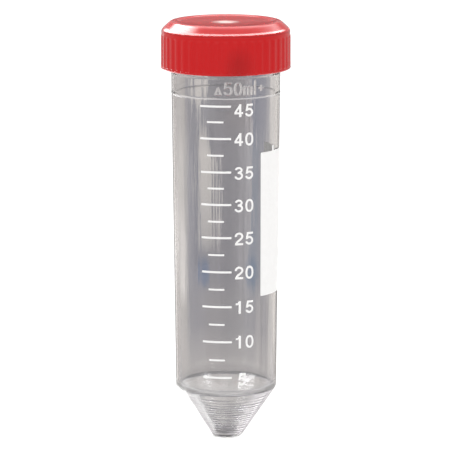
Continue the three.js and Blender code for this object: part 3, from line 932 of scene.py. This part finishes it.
def card_material():
    """Painted in the card's own x and y, in metres from its middle."""
    mat = material_graph("grey_card")
    x, y, _ = mat.separate(mat.object_coord())
    wander = mat.remap(mat.noise(stretch=(8, 30, 1)), 0.3, 0.7, low=-0.0015, high=0.0015)
    across = mat.remap(mat.add(x, wander), -CARD_HALF * MM, CARD_HALF * MM)
    height = mat.add(y, mat.remap(mat.noise(stretch=(40, 6, 1)), 0.3, 0.7,
                                  low=-0.002, high=0.002))

    def streaks(stops):
        return mat.ramp(across, [((place + CARD_HALF) / (2 * CARD_HALF), srgb(*color))
                                 for place, color in stops])

    def by_height(stops):
        """A value that changes with height: stops of (mm, value)."""
        low, high = stops[0][0], stops[-1][0]
        return mat.ramp(mat.remap(height, low * MM, high * MM),
                        [((place - low) / (high - low), (value,) * 3) for place, value in stops])

    high, middle, low = map(streaks, (HIGH_STREAKS, MIDDLE_STREAKS, LOW_STREAKS))
    body = mat.mix(mat.remap(height, 0.024, 0.034), middle, high)
    body = mat.mix(mat.remap(height, -0.016, -0.026), body, low)

    # one pale upright band, wide in the middle and narrow near the top
    left, right, power = map(by_height, (BAND_LEFT, BAND_RIGHT, BAND_POWER))
    past_left = mat.div(mat.add(x, mat.mul(left, 0.1)), BAND_SOFTNESS)
    before_right = mat.div(mat.sub(mat.mul(right, -0.1), x), BAND_SOFTNESS)
    inside = mat.mul(mat.add(past_left, 0.5, clamp=True), mat.add(before_right, 0.5, clamp=True))
    body = mat.mix(mat.mul(inside, power), body, srgb(206, 200, 196))

    # paler towards the foot of the barrel, then dark with bright flanks
    pale = by_height([(-60, 0.9), (-50, 0.75), (-43, 0.4), (-34, 0.0)])
    body = mat.mix(pale, body, srgb(197, 191, 188))
    deep = by_height([(-63, 1.0), (-58.5, 0.0)])
    ripple = mat.noise(stretch=(16, 330, 1), detail=4.0, roughness=0.6)
    dark = mat.ramp(ripple, [(0.30, srgb(92, 90, 95)), (0.48, srgb(116, 113, 118)),
                             (0.60, srgb(132, 129, 133)), (0.70, srgb(170, 167, 170))])
    # far below, the card lightens again, more to the right
    foot = by_height([(-170, 1.0), (-112, 0.0)])
    foot_color = mat.ramp(mat.remap(x, -0.02, 0.03),
                          [(0.0, srgb(150, 147, 150)), (0.45, srgb(178, 175, 178)),
                           (1.0, srgb(225, 221, 224))])
    dark = mat.mix(foot, dark, foot_color)
    left_flank = mat.remap(mat.add(x, mat.mul(y, -0.22)), -0.026, -0.010, low=1.0, high=0.0)
    right_flank = mat.remap(mat.add(x, mat.mul(y, 0.2)), 0.004, 0.024)
    left_color = mat.ramp(mat.remap(x, -0.090, -0.040),
                          [(0.0, srgb(192, 189, 191)), (0.5, srgb(205, 203, 205)),
                           (1.0, srgb(244, 243, 244))])
    dark = mat.mix(left_flank, dark, left_color)
    dark = mat.mix(right_flank, dark, srgb(210, 205, 209))
    body = mat.mix(deep, body, dark)

    # brighter towards the left edge at the middle of the barrel, and at the right edge
    glow = mat.mul(mat.remap(x, -0.040, -0.048),
                   by_height([(-30, 0.0), (-22, 0.9), (-4, 0.7), (8, 0.0)]), clamp=True)
    body = mat.mix(glow, body, srgb(238, 232, 228))
    edge = mat.mul(mat.remap(x, 0.050, 0.075),
                   by_height([(-56, 0.0), (-50, 1.0), (60, 1.0)]), clamp=True)
    body = mat.mix(edge, body, srgb(228, 222, 217))
    for centre_x, centre_y, half_width, half_height, color in CARD_PATCHES:
        distance = mat.length(mat.div(mat.sub(x, centre_x * MM), half_width * MM),
                              mat.div(mat.sub(height, centre_y * MM), half_height * MM))
        body = mat.mix(mat.remap(distance, 0.45, 1.0, low=0.95, high=0.0), body, srgb(*color))

    # fine streaks, tighter in the middle than at the edges
    tight = mat.noise(stretch=(520, 7, 1), roughness=0.6)
    wide = mat.noise(stretch=(130, 5, 1), roughness=0.65)
    far = mat.remap(mat.math("ABSOLUTE", x), 0.015, 0.035)
    change = mat.add(
        mat.mul(mat.sub(1.0, far), mat.remap(tight, 0.25, 0.75, low=-0.12, high=0.12)),
        mat.mul(far, mat.remap(wide, 0.25, 0.75, low=-0.34, high=0.34)))
    streaked = mat.scaled(body, mat.add(1.0, change))
    # light that has met a matt surface sees a plain pale card
    depth = mat.node("LightPath").outputs["Diffuse Depth"]
    color = mat.mix(mat.math("GREATER_THAN", depth, 0.5), streaked, (1.0, 0.99, 0.98))
    mat.surface(mat.emission(color, strength=1.0))
    return mat.owner


# The card is far behind the tube. It follows the camera and shows only through clear walls.
card = add_square("grey_card", 0.60)
card.parent = camera
card.location = (0, 0, -1.134)
hide_from(card, "camera", "diffuse", "glossy", "shadow", "volume_scatter")
card.data.materials.append(card_material())

# ------------------------------------------------------------------ small lamps
# Two level lamps beside the tube. Only light that has bounced up inside the cone sees them.
LAMP_Z = 45.0
# outlines: x, y in mm
LAMP_A = [(-15.5, -6.5), (-16.5, -5.0), (-20.5, -2.0), (-22.0, 0.4), (-24.5, 1.6), (-27.0, 6.5),
          (-28.5, 7.5), (-31.0, 13.0), (-34.5, 17.5), (-36.0, 17.0), (-35.0, 13.4),
          (-31.5, 8.0), (-30.0, 5.0), (-30.5, 3.0), (-30.0, 1.0), (-27.0, -0.8),
          (-24.6, -3.2), (-21.8, -4.6), (-20.8, -6.0), (-19.0, -7.2), (-17.5, -7.4)]
LAMP_B = [(22.5, 1.5), (20.5, -0.6), (18.6, -3.2), (17.0, -5.0), (18.5, -5.5), (21.8, -3.5),
          (24.0, -1.8), (26.0, 0.8), (26.3, 2.2), (24.5, 2.6)]


def add_small_lamp(name, outline):
    lamp = add_sheet(name, [(x * MM, y * MM, LAMP_Z * MM) for x, y in outline])
    hide_from(lamp, "camera", "diffuse", "glossy", "shadow")
    mat = material_graph(name)
    incoming_z = mat.separate(mat.node("NewGeometry").outputs["Incoming"])[2]
    rising = mat.math("LESS_THAN", incoming_z, -0.4)
    glow = mat.emission(color=(1, 1, 1), strength=10.0)
    clear = mat.value("BsdfTransparent")
    mat.surface(mat.value("MixShader", {0: rising, 1: clear, 2: glow}))
    lamp.data.materials.append(mat.owner)
    mat.owner.cycles.emission_sampling = "NONE"


add_small_lamp("lamp_a", LAMP_A)
add_small_lamp("lamp_b", LAMP_B)

# ------------------------------------------------------------------ world
VIEW_Y, VIEW_Z = 0.99246, -0.12256  # the way the camera looks
# overhead light: tilt of the mirroring surface in degrees, brightness
OVERHEAD = [(0.0, 0.115), (1.0, 0.15), (2.2, 0.34), (8, 0.7), (13, 1.6), (18, 3.0), (36, 3.6),
            (39.5, 1.6), (42, 1.4), (53, 1.0), (55, 0.5), (90, 0.38)]
# inside of the cone, from left to right: position, brightness, warmth
CONE_GLOW = [(0.0, 1.6, 1.0), (0.12, 2.1, 1.0), (0.25, 2.0, 1.0), (0.29, 1.2, 1.0),
             (0.44, 1.2, 1.0), (0.50, 2.3, 1.01), (0.80, 2.5, 1.01), (1.0, 2.3, 1.0)]


def grey(level, warmth=1.0):
    return (level * warmth, level, level / warmth)


def band(env, value, start, full, full_end, end):
    """1 between full and full_end, falling to 0 at start and end."""
    return env.mul(env.remap(value, start, full), env.remap(value, end, full_end), clamp=True)


def plus(env, base, factor, color):
    return env.value("VectorMath", {0: base, 1: env.scaled(color, factor)}, operation="ADD")


def ray_direction(env):
    """The ray's parts to the right, ahead and up. They turn with the camera, as if the tube
    stood on a turntable."""
    east, north, up = env.separate(env.node("TexCoord").outputs["Generated"])
    forward = env.value("VectorTransform", {0: (0.0, 0.0, 1.0)}, vector_type="VECTOR",
                        convert_from="CAMERA", convert_to="WORLD")
    forward_x, forward_y, _ = env.separate(forward)
    level = env.length(forward_x, forward_y)
    forward_x, forward_y = env.div(forward_x, level), env.div(forward_y, level)
    right = env.sub(env.mul(east, forward_y), env.mul(north, forward_x))
    ahead = env.add(env.mul(east, forward_x), env.mul(north, forward_y))
    return right, ahead, up


def light_from_above(env, right, ahead, up):
    # the tilt and the bearing a surface must have to mirror this direction to the camera
    half_y, half_z = env.sub(ahead, VIEW_Y), env.sub(up, VIEW_Z)
    size = env.math("MAXIMUM", env.length(right, half_y, half_z), 1e-4)
    tilt = env.mul(env.math("ARCCOSINE", env.div(half_z, size)), 180 / math.pi)
    bearing = env.mul(env.math("ARCTAN2", right, env.mul(half_y, -1.0)), 180 / math.pi)
    lean = env.div(env.mul(half_y, -1.0), size)

    light = env.ramp(env.remap(tilt, 0.0, 90.0),
                     [(angle / 90.0, grey(level)) for angle, level in OVERHEAD])
    right_side = env.mul(env.remap(bearing, 33.0, 56.0), band(env, tilt, 6.0, 12.0, 46.0, 50.0))
    light = env.mix(right_side, light, grey(3.3))
    # darker to the sides, and behind
    aside = env.math("ABSOLUTE", bearing)
    flat_side = env.mul(env.remap(aside, 32.0, 45.0, high=0.9), env.remap(tilt, 26.0, 19.0))
    light = env.mix(flat_side, light, grey(0.35))
    light = env.mix(env.remap(aside, 57.0, 68.0), light, grey(0.55))
    light = env.mix(env.remap(lean, -0.004, 0.004), grey(0.14), light)
    # a ring lamp low over the shoulder, and a big window on the left
    droop = env.remap(bearing, -10.0, -40.0, low=0.0, high=-6.0)
    ring_lamp = env.mul(
        env.mul(env.remap(tilt, 44.8, 46.0), env.remap(env.add(tilt, droop), 53.6, 52.4)),
        band(env, bearing, -78.0, -68.0, 54.0, 72.0), clamp=True)
    window = env.mul(band(env, tilt, 23.0, 36.0, 52.4, 53.6),
                     band(env, bearing, -68.0, -57.0, -39.0, -27.0))
    return plus(env, light, env.math("MAXIMUM", ring_lamp, window), (13.5, 13.3, 13.1))


def light_from_below(env, right, ahead, up):
    light = env.mix(env.remap(ahead, -0.3, 0.5), (0.24, 0.235, 0.235), (0.50, 0.485, 0.475))
    # white ground behind, brightest to the left: it edges the cone
    ground = env.mul(env.mul(env.remap(up, -0.24, -0.31), env.remap(up, -0.64, -0.54)),
                     env.remap(ahead, 0.1, 0.4), clamp=True)
    light = plus(env, light, env.mul(ground, env.remap(right, -0.16, -0.25)), (4.2, 4.2, 4.2))
    light = plus(env, light, env.mul(ground, env.remap(right, 0.10, 0.20)), (0.6, 0.58, 0.6))
    # the pale table right under the tip
    central = env.remap(env.math("ABSOLUTE", right), 0.60, 0.42)
    table = env.mul(band(env, up, -0.985, -0.94, -0.62, -0.56),
                    env.mul(env.remap(ahead, 0.10, 0.28), central), clamp=True)
    return plus(env, light, table, (2.6, 2.55, 2.55))


def light_through_walls(env, right, ahead, up):
    """What the inside of the cone reflects, looking up and forwards."""
    rising = env.remap(up, 0.02, 0.25)
    light = env.ramp(env.remap(right, -1.0, 1.0),
                     [(place, grey(level, warmth)) for place, level, warmth in CONE_GLOW])
    high_front = env.mul(env.remap(up, 0.50, 0.62), env.remap(ahead, 0.25, 0.05), clamp=True)
    light = env.mix(high_front, (0.75, 0.74, 0.74), light)
    # swapped below: the first colour shows where the factor is 0
    return env.mix(rising, (0.56, 0.535, 0.52), light)


def build_world():
    world = bpy.data.worlds.new("studio")
    scene.world = world
    world.cycles.sampling_method = "NONE"
    env = Graph(world, "OutputWorld")
    path = env.node("LightPath").outputs
    ray = right, ahead, up = ray_direction(env)
    mirrored = env.mix(env.remap(up, -0.03, 0.01, low=1.0, high=0.0),
                       light_from_above(env, *ray), light_from_below(env, *ray))
    shiny = env.mix(path["Is Transmission Ray"], mirrored, light_through_walls(env, *ray))
    # matt surfaces are lit all round, and more from high behind
    toward = env.add(env.add(env.mul(right, 0.0), env.mul(ahead, 0.8)), env.mul(up, 0.6))
    matt = env.mix(env.remap(toward, 0.766, 0.94), (1.0, 0.992, 0.985), (3.9, 3.85, 3.8))
    after_matt = env.math("GREATER_THAN", path["Diffuse Depth"], 0.5)
    color = env.mix(path["Is Camera Ray"], env.mix(after_matt, shiny, matt), (1.0, 1.0, 1.0))
    env.surface(env.value("Background", {"Color": color}))


build_world()


# ------------------------------------------------------------------ area lights
def add_area_light(name, location, target, size, power, color=(1, 1, 1)):
    data = bpy.data.lights.new(name, "AREA")
    data.shape = "RECTANGLE"
    data.size, data.size_y = size
    data.energy = power
    data.color = color
    light = add_object(name, data)
    light.location = location
    aim = Vector(target) - Vector(location)
    light.rotation_mode = "QUATERNION"
    light.rotation_quaternion = aim.to_track_quat("-Z", "Y")
    return light


strip = add_area_light("strip_left", location=(-0.42, 0.72, 0.02), target=(0, 0, 0.08),
                       size=(0.10, 0.5), power=0.14, color=(1.0, 0.97, 0.95))
hide_from(strip, "diffuse", "transmission")
fill = add_area_light("fill", location=(-0.3, -0.5, 0.9), target=(0, 0, 0.06),
                      size=(0.7, 0.7), power=0.6)
hide_from(fill, "glossy", "transmission")

# ------------------------------------------------------------------ render settings
scene.view_settings.view_transform = "Standard"
scene.view_settings.look = "None"
scene.view_settings.exposure = 0.0
scene.cycles.use_denoising = True
scene.cycles.max_bounces = 24
scene.cycles.transmission_bounces = 24
scene.cycles.glossy_bounces = 12
scene.cycles.transparent_max_bounces = 24
scene.cycles.caustics_reflective = False
scene.cycles.caustics_refractive = True
